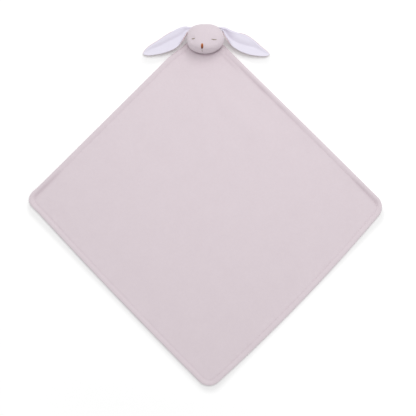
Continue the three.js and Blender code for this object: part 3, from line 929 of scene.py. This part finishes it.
def nose_runs():
    for k in range(nose_threads):
        share = 2 * (k + 0.5) / nose_threads - 1
        half = nose_tall / 2 * (1 - abs(share) ** nose_roundness) ** (1 / nose_roundness)
        half *= 1 + nose_ragged * stitch_wander.uniform(-1, 1)
        run = []
        for at in np.linspace(-1, 1, nose_steps):
            pad = nose_pad * math.sqrt(max(0.0, 1 - at ** 4)) * math.sqrt(1 - share ** 2)
            x = nose_middle.x + share * nose_wide / 2 + nose_wander * stitch_wander.uniform(-1, 1)
            run.append(on_face(x, nose_middle.y - at * half, pad - embroidery_sink * at ** nose_end_power))
        yield run


def mouth_runs():
    for k in range(mouth_strands):
        x = nose_middle.x + (k - (mouth_strands - 1) / 2) * mouth_pitch
        places = np.linspace(mouth_top, mouth_bottom, len(mouth_lifts))
        yield [on_face(x, y, lift * mouth_thick / 2) for y, lift in zip(places, mouth_lifts)]


def eye_runs(middle, long, tall):
    for at in np.linspace(-1, 1, round(long / eye_stitch_pitch)):
        x = middle.x + at * long / 2
        y = middle.y + eye_sag * (at * at - 0.5)
        half = tall / 2 * (1 - eye_taper * at * at) * (1 + eye_ragged * stitch_wander.uniform(-1, 1))
        yield [on_face(x + eye_stitch_lean * share, y + half * share,
                       eye_thick * (eye_stitch_rise - share * share)) for share in eye_stitch_shares]


def nose_painted_light_finish():
    """Glossy brown rayon, with painted light and shade: lighter at the top of the nose and darker towards its
    foot.
    """
    finish = Finish(bpy.data.materials.new("nose_thread"))
    height = finish.node("SeparateXYZ", None, {"Vector": finish.place()}, output=1)
    down = finish.node("MapRange", None, {"Value": height, "From Min": head_y + nose_middle.y + nose_tall / 2,
                                          "From Max": head_y + nose_middle.y - nose_tall / 2})
    strands = finish.speckle(0.0004, stretch=(1, 0.15, 1))
    # painted light and shade: the thread runs from a lit tan at the top of the nose to a shaded brown at its
    # foot
    brown = finish.node("ValToRGB", None, {"Fac": down + (strands - 0.5) * nose_streaks})
    ramp = brown.socket.node.color_ramp
    ramp.elements[0].position = 0.05
    ramp.elements[0].color = colour(206, 142, 98)
    ramp.elements[1].position = 0.95
    ramp.elements[1].color = colour(108, 54, 22)
    ramp.elements.new(0.45).color = colour(176, 96, 48)
    finish.set(base_color=brown, roughness=0.42, specular_ior_level=0.3)
    finish.bump(strands, strength=0.4, distance=0.0001)
    return finish.owner


taupe_thread = thread_finish("taupe_thread", colour(158, 144, 118), colour(118, 104, 82))
sewn = [("nose_satin_stitch", nose_runs(), nose_thread_thick, nose_painted_light_finish(),
         "nose_embroidery", "nose_thread"),
        ("mouth_long_stitch", mouth_runs(), mouth_thick, taupe_thread, "mouth_stitch", "face_thread")]
for side, middle in eye_places.items():
    sewn.append((side + "_eye_satin_stitch", eye_runs(middle, eye_longs[side], eye_talls[side]), eye_thick,
                 taupe_thread, side + "_eye_embroidery", "face_thread"))
for name, runs, thick, material, node, slot in sewn:
    stitches = thread(name, runs, thick, material)
    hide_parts(node)
    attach(stitches, "head")


# Ears. Each is cut twice, once in smooth white lining and once in pink plush, sewn together, turned
# and sewn into the side seam. The turned-in allowance makes a soft rim, and beside the root the
# lower edge is folded up, so that the ear starts as a cup and opens towards its tip.
lining_ply = 0.0017
ear_seat = 0.0005
ear_seam_high = 50
ear_seam_low = 32
ear_lengths = {"left": 0.1601, "right": 0.1652}
ear_aims = {"left": 25.1, "right": 24.8}
ear_edge_shares = {
    "left": {
        "upper": ((0.01, 0.045), (0.10, 0.099), (0.25, 0.124), (0.45, 0.118), (0.62, 0.098),
                  (0.82, 0.079), (0.94, 0.042), (1, 0)),
        "lower": ((0.085, -0.028), (0.133, -0.060), (0.178, -0.106), (0.28, -0.158), (0.45, -0.19),
                  (0.67, -0.160), (0.88, -0.095), (0.97, -0.043), (1, 0)),
    },
    "right": {
        "upper": ((0.02, 0.042), (0.10, 0.07), (0.20, 0.071), (0.33, 0.094), (0.48, 0.123),
                  (0.65, 0.1), (0.80, 0.055), (0.92, 0.028), (1, 0)),
        "lower": ((0.085, -0.038), (0.135, -0.083), (0.192, -0.134), (0.29, -0.173), (0.47, -0.195),
                  (0.66, -0.176), (0.84, -0.118), (0.96, -0.06), (1, 0)),
    },
}
ear_root_z = side_seam_z + (lining_ply + ply_gap + ply) / 2
ear_tip_z = 0.0081
ear_droop = 1.3
ear_rim_radius = 0.0035
ear_rim_length = 0.0045
ear_low_turn = 18
ear_high_turn = 16
ear_flap_length = 0.0100
ear_flap_turns = {"left": 98, "right": 66}
ear_flap_shares = (0.02, 0.10, 0.20, 0.36)
ear_thick = lining_ply + ply_gap + ply
# a soft crease runs down each ear: shares along the ear, with a share of its width and a depth
ear_crease_shares = {
    "left": ((0.10, 0.42), (0.19, 0.45), (0.31, 0.52), (0.44, 0.60), (0.90, 0.60)),
    "right": ((0.12, 0.42), (0.24, 0.37), (0.37, 0.36), (0.53, 0.47), (0.66, 0.60), (0.90, 0.64)),
}
ear_crease_deeps = {
    "left": ((0.04, 0.002), (0.19, 0.0044), (0.60, 0.0044), (0.80, 0.0026), (0.95, 0.0004)),
    "right": ((0.04, 0.004), (0.19, 0.0062), (0.36, 0.0050), (0.62, 0.0040), (0.80, 0.0020), (0.95, 0.0004)),
}
ear_crease_wide = 0.0085
ear_crease_soft = 0.0015
# painted shade on the crease's upper flank, where the crease is shaded: by share along, and how dark
ear_flank_painted_shades = {
    "left": ((0.04, 0.2), (0.19, 0.42), (0.70, 0.42), (0.85, 0.2), (0.97, 0.0)),
    "right": ((0.04, 0.9), (0.19, 1.0), (0.27, 0.6), (0.40, 0.45), (0.70, 0.35), (0.85, 0.15), (0.97, 0.0)),
}
ear_flank_at = 0.0040
ear_flank_above = {"left": 0.0060, "right": 0.0120}
ear_flank_below = 0.0042
ear_slim_wides = (0.002, 0.020)
ear_narrowest = 1e-5
ear_rows = 100
ear_columns = 60
ear_upper_lead = 0.8
rim_fill = 0.0011
rim_fill_at = 0.0042
rim_fill_wide = 0.0036
ear_ripple = 0.0009
ear_ripples_a_metre = 28
ear_ripple_seed = 3.7
ear_bend_reach = 0.022
edge_steps = 14
curl_steps = 12
# how far each ply ends inside the ear's lower and upper rims, each beside the root and further out
lining_trims = {"left": ((0.0045, 0.0), (0.0, 0.0012)), "right": ((0.0030, 0.0), (0.0, 0.0012))}
back_trims = ((0.0, 0.0014), (0.0045, 0.0))
trim_shares = (0.16, 0.34)


def smooth_run(points):
    """A Catmull-Rom curve through points, sampled evenly along its length as a function of a share."""
    padded = [points[0], *points, points[-1]]
    run = []
    for a, b, c, d in zip(padded, padded[1:], padded[2:], padded[3:]):
        for step in range(edge_steps):
            t = step / edge_steps
            run.append((2 * b + (c - a) * t + (2 * a - 5 * b + 4 * c - d) * t * t
                        + (3 * b - a - 3 * c + d) * t ** 3) / 2)
    run.append(points[-1])
    lengths = np.cumsum([0.0] + [(q - p).length for p, q in zip(run, run[1:])])
    xs = [p.x for p in run]
    ys = [p.y for p in run]
    return lambda share: Vector((np.interp(share * lengths[-1], lengths, xs),
                                 np.interp(share * lengths[-1], lengths, ys)))


def curl(distance, turn):
    """A rim that turns up: how far out and how high a point at a distance past the fold lies."""
    angle = min(distance / ear_rim_radius, turn)
    straight = distance - ear_rim_radius * angle
    return (ear_rim_radius * math.sin(angle) + straight * math.cos(angle),
            ear_rim_radius * (1 - math.cos(angle)) + straight * math.sin(angle))


def curl_reach(length, turn):
    return max(curl(length * k / curl_steps, turn)[0] for k in range(curl_steps + 1))


def table_at(table, share):
    return np.interp(share, [row[0] for row in table], [row[1] for row in table])


class Ear:
    """The shape of one ear's upper face, over a share along it and a column across it."""

    def __init__(self, side):
        self.side = side
        self.sign = -1 if side == "left" else 1
        self.length = ear_lengths[side]
        aim = math.radians(ear_aims[side])
        self.way = Vector((self.sign * math.cos(aim), -math.sin(aim)))
        self.crown = Vector((-self.way.y, self.way.x)) * self.sign
        self.root = self.seam((ear_seam_high + ear_seam_low) / 2)
        self.upper = self.edge(ear_seam_high, ear_edge_shares[side]["upper"])
        self.lower = self.edge(ear_seam_low, ear_edge_shares[side]["lower"])

    def seam(self, degrees):
        turn = math.radians(degrees)
        rim = head_outline(turn)
        grown = Vector((rim.x * (1 + ear_seat / head_half_wide), rim.y * (1 + ear_seat / head_half_tall)))
        return Vector((head_x + self.sign * grown.x, head_y + grown.y))

    def edge(self, degrees, shares):
        start = self.seam(degrees) - self.root
        points = [Vector((start.dot(self.way), start.dot(self.crown)))]
        points += [Vector((a * self.length, c * self.length)) for a, c in shares]
        return smooth_run(points)

    def section(self, share, wide, column_share, trims):
        """Across the ear: how far from its lower edge a point lies, how high, how far from a rim, and
        how much painted shade it takes."""
        flap = band(share, *ear_flap_shares)
        full = smoothstep(wide, *ear_slim_wides)
        low_length = (ear_rim_length + ear_flap_length * flap) * full
        high_length = ear_rim_length * full
        low_turn = math.radians(between(ear_low_turn, ear_flap_turns[self.side], flap))
        high_turn = math.radians(ear_high_turn)
        folded = ear_thick * flap * full * smoothstep(share, *ear_flap_shares[1:3])
        low_reach = curl_reach(low_length, low_turn)
        low_reach += folded * math.sin(min(low_turn, math.pi / 2))
        high_reach = curl_reach(high_length, high_turn)
        open_wide = max(wide - low_reach - high_reach, ear_narrowest)
        whole = low_length + open_wide + high_length
        outer = smoothstep(share, *trim_shares)
        low_trim, high_trim = (min(between(*pair, outer), whole / 4) for pair in trims)
        at = low_trim + (whole - low_trim - high_trim) * column_share
        rim = min(at, whole - at)
        if at < low_length:
            out, up = curl(low_length - at, low_turn)
            return low_reach - out, up, rim, 0.0
        if at > low_length + open_wide:
            out, up = curl(at - low_length - open_wide, high_turn)
            return wide - high_reach + out, up, rim, 0.0
        across = low_reach + at - low_length
        crease_at = max(table_at(ear_crease_shares[self.side], share) * wide, low_reach)
        from_crease = math.hypot(across - crease_at, ear_crease_soft) / ear_crease_wide
        open_share = max(0.0, math.sin(math.pi * (at - low_length) / open_wide))
        crease = table_at(ear_crease_deeps[self.side], share) * math.exp(-from_crease) * math.sqrt(open_share)
        # painted shade on the crease's upper flank, fading away from it above and below
        past = across - crease_at - ear_flank_at
        reach = ear_flank_above[self.side] if past > 0 else ear_flank_below
        painted_shade = table_at(ear_flank_painted_shades[self.side], share) * fade(past, reach)
        return across, -crease * full, rim, painted_shade * full

    def place(self, along, column_share, trims):
        """Where a grid point of the ear's face lies, how far from the nearest rim, and how much painted shade
        it takes.
        """
        low = self.lower(along)
        high = self.upper(along ** ear_upper_lead)
        wide = max((high - low).length, ear_narrowest)
        share = clamped(low.x / self.length)
        across, up, rim, painted_shade = self.section(share, wide, column_share, trims)
        flat = low + (high - low) / wide * across
        plan = self.root + self.way * flat.x + self.crown * flat.y
        height = between(ear_tip_z, ear_root_z, (1 - clamped(flat.x / self.length)) ** ear_droop)
        ripple = ear_ripple * noise.noise(Vector((*plan * ear_ripples_a_metre, self.sign * ear_ripple_seed)))
        place = Vector((plan.x, plan.y, height + up + ripple * smoothstep(wide, *ear_slim_wides)))
        return place, rim, painted_shade


def rim_bulge(rim):
    return rim_fill * fade(rim - rim_fill_at, rim_fill_wide)


def ear_sheet(ear, name, material, trims, sunk_at, depth_at):
    """One ply of an ear: its upper face sunk below the ear's face, then thickened, and its cut area."""
    bm = bmesh.new()
    bmesh.ops.create_grid(bm, x_segments=ear_rows, y_segments=ear_columns, size=0.5)
    rim_layer = bm.verts.layers.float.new("rim")
    painted_shade_layer = bm.verts.layers.float.new("painted_shade")
    for v in bm.verts:
        v.co, v[rim_layer], v[painted_shade_layer] = ear.place(v.co.x + 0.5, v.co.y + 0.5, trims)
    bmesh.ops.remove_doubles(bm, verts=bm.verts, dist=2e-5)
    bmesh.ops.recalc_face_normals(bm, faces=bm.faces)
    if sum(f.normal.z for f in bm.faces) < 0:
        bmesh.ops.reverse_faces(bm, faces=bm.faces)
    bm.normal_update()
    cut_area = sum(f.calc_area() for f in bm.faces)
    shifts = [(v, v.normal * sunk_at(v[rim_layer])) for v in bm.verts]
    for v, shift in shifts:
        v.co -= shift
    solid_sheet(bm, lambda v: depth_at(v[rim_layer]))
    return finished_piece(bm, name, material), cut_area


# the lining's third colour is the painted shade on its crease flanks
lining_cloth = velour("ear_lining_plush", colour(232, 229, 241), colour(224, 219, 233), 0.03, 0.006,
                      sheen=0.2, painted_shade=colour(203, 196, 210))
ear_plush = velour("ear_back_plush", colour(228, 209, 213), colour(215, 195, 200), 0.03, 0.006)
for side in ("left", "right"):
    ear = Ear(side)
    lining, lining_area = ear_sheet(ear, side + "_ear_white_lining", lining_cloth, lining_trims[side],
                                    sunk_at=lambda rim: -rim_bulge(rim),
                                    depth_at=lambda rim: lining_ply + rim_bulge(rim))
    back, back_area = ear_sheet(ear, side + "_ear_pink_back", ear_plush, back_trims,
                                sunk_at=lambda rim: lining_ply + ply_gap,
                                depth_at=lambda rim: ply + rim_bulge(rim) / 2)
    root = Vector((*ear.root, ear_root_z))
    bend_end = root + Vector((*ear.way, 0)) * ear_bend_reach
    for cloth, node, slot, area in ((lining, side + "_ear_lining", "ear_lining", lining_area),
                                    (back, side + "_ear_back", "ear_velour", back_area)):
        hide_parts(node)
        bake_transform(cloth, "head", side + "_ear", start=root, end=bend_end)


# Floor, light and camera. A white studio floor seen from nearly straight above, lit by two broad soft
# lamps beyond the picture's top and by the room.
floor_size = 60.0
floor_glow = 0.16
# further off the lamps are dimmer, so the glow grows between these distances to keep the floor white
far_glow = 0.26
far_reaches = (0.10, 1.60)
# the glow is left out round the toy, in a zone shifted a little way down the picture: near the toy the floor
# shows its rendered shade, and further out a painted shadow
painted_shadow_shift = Vector((0, -0.020))
painted_shadow_reaches = (-0.005, 0.015)
ear_painted_shadow_wide = 0.052
ear_painted_shadow_shares = (0.17, 1.0)
floor_mesh = bmesh.new()
bmesh.ops.create_grid(floor_mesh, x_segments=1, y_segments=1, size=floor_size / 2)
floor_finish = Finish(bpy.data.materials.new("studio_floor"))
floor_place = floor_finish.place()


def measured_from(middle, turn):
    """The two distances of a floor point from a middle, along and across a turned direction."""
    origin = Matrix.Rotation(-turn, 2) @ (middle + painted_shadow_shift)
    turned = floor_finish.node("Mapping", None, {"Vector": floor_place, "Rotation": (0, 0, -turn),
                                                 "Location": (-origin.x, -origin.y, 0)})
    return [floor_finish.node("SeparateXYZ", None, {"Vector": turned}, output=k) for k in (0, 1)]


def past_ear(side):
    ear = Ear(side)
    near, tip = (share * ear.length for share in ear_painted_shadow_shares)
    along, across = measured_from(ear.root + ear.way * (near + tip) / 2, math.atan2(ear.way.y, ear.way.x))
    half = ear_painted_shadow_wide / 2
    far = ((along * (2 / (tip - near))) ** 2 + (across * (1 / half)) ** 2) ** 0.5
    return (far - 1) * half


outside = [floor_finish.node("Math", {"operation": "ABSOLUTE"}, {0: side}) - half / 2
           for side, half in zip(measured_from(Vector((0, 0)), math.pi / 4), (blanket_wide, blanket_long))]
past_sides = [side.joined("MAXIMUM", side + corner_radius, 0.0) for side in outside]
past_edge = (past_sides[0] ** 2 + past_sides[1] ** 2) ** 0.5 - corner_radius
for side in ("left", "right"):
    past_edge = past_edge.joined("MINIMUM", past_edge, past_ear(side))
near_share, far_share = [floor_finish.node("MapRange", {"interpolation_type": "SMOOTHSTEP"},
                                           {"Value": past_edge, "From Min": low, "From Max": high})
                         for low, high in (painted_shadow_reaches, far_reaches)]
floor_finish.set(base_color=colour(246, 246, 246), roughness=1.0, specular_ior_level=0.0)
floor_finish.set(emission_strength=1.0)
# where the glow is left out round the toy the floor stays darker: a painted shadow beyond the rendered one
floor_finish.set(emission_color=floor_finish.in_view() * (near_share * floor_glow + far_share * far_glow))
floor = finished_piece(floor_mesh, "floor", floor_finish.owner, smooth=False)

room_light = 0.66
room = Finish(bpy.data.worlds.new("room"), "Background")
room.set(color=(1, 1, 1, 1), strength=room.in_view() * (1 - room_light) + room_light)
bpy.context.scene.world = room.owner


def aimed(name, data, place, aim):
    holder = placed(name, data)
    holder.location = place
    holder.rotation_euler = (Vector(aim) - Vector(place)).to_track_quat("-Z", "Y").to_euler()
    return holder


def softbox(name, place, aim, size, power):
    lamp = bpy.data.lights.new(name, "AREA")
    lamp.shape = "SQUARE"
    lamp.size = size
    lamp.energy = power
    aimed(name, lamp, place, aim)


softbox("key_softbox", place=(0.45, 1.5, 2.3), aim=(0, 0.1, 0), size=1.4, power=13)
softbox("overhead_softbox", place=(0.25, 0.8, 2.4), aim=(0, 0.1, 0), size=1.6, power=16)

camera = bpy.data.cameras.new("camera")
camera.sensor_width = 36
image_side = 416
focal_pixels = 843.7
camera.lens = focal_pixels / image_side * camera.sensor_width
camera.clip_end = 30
bpy.context.scene.camera = aimed("camera", camera, place=(0.0063, -0.2228, 2.4911),
                                 aim=(0.0063, -0.0118, 0))
bpy.context.scene.view_settings.view_transform = "Standard"
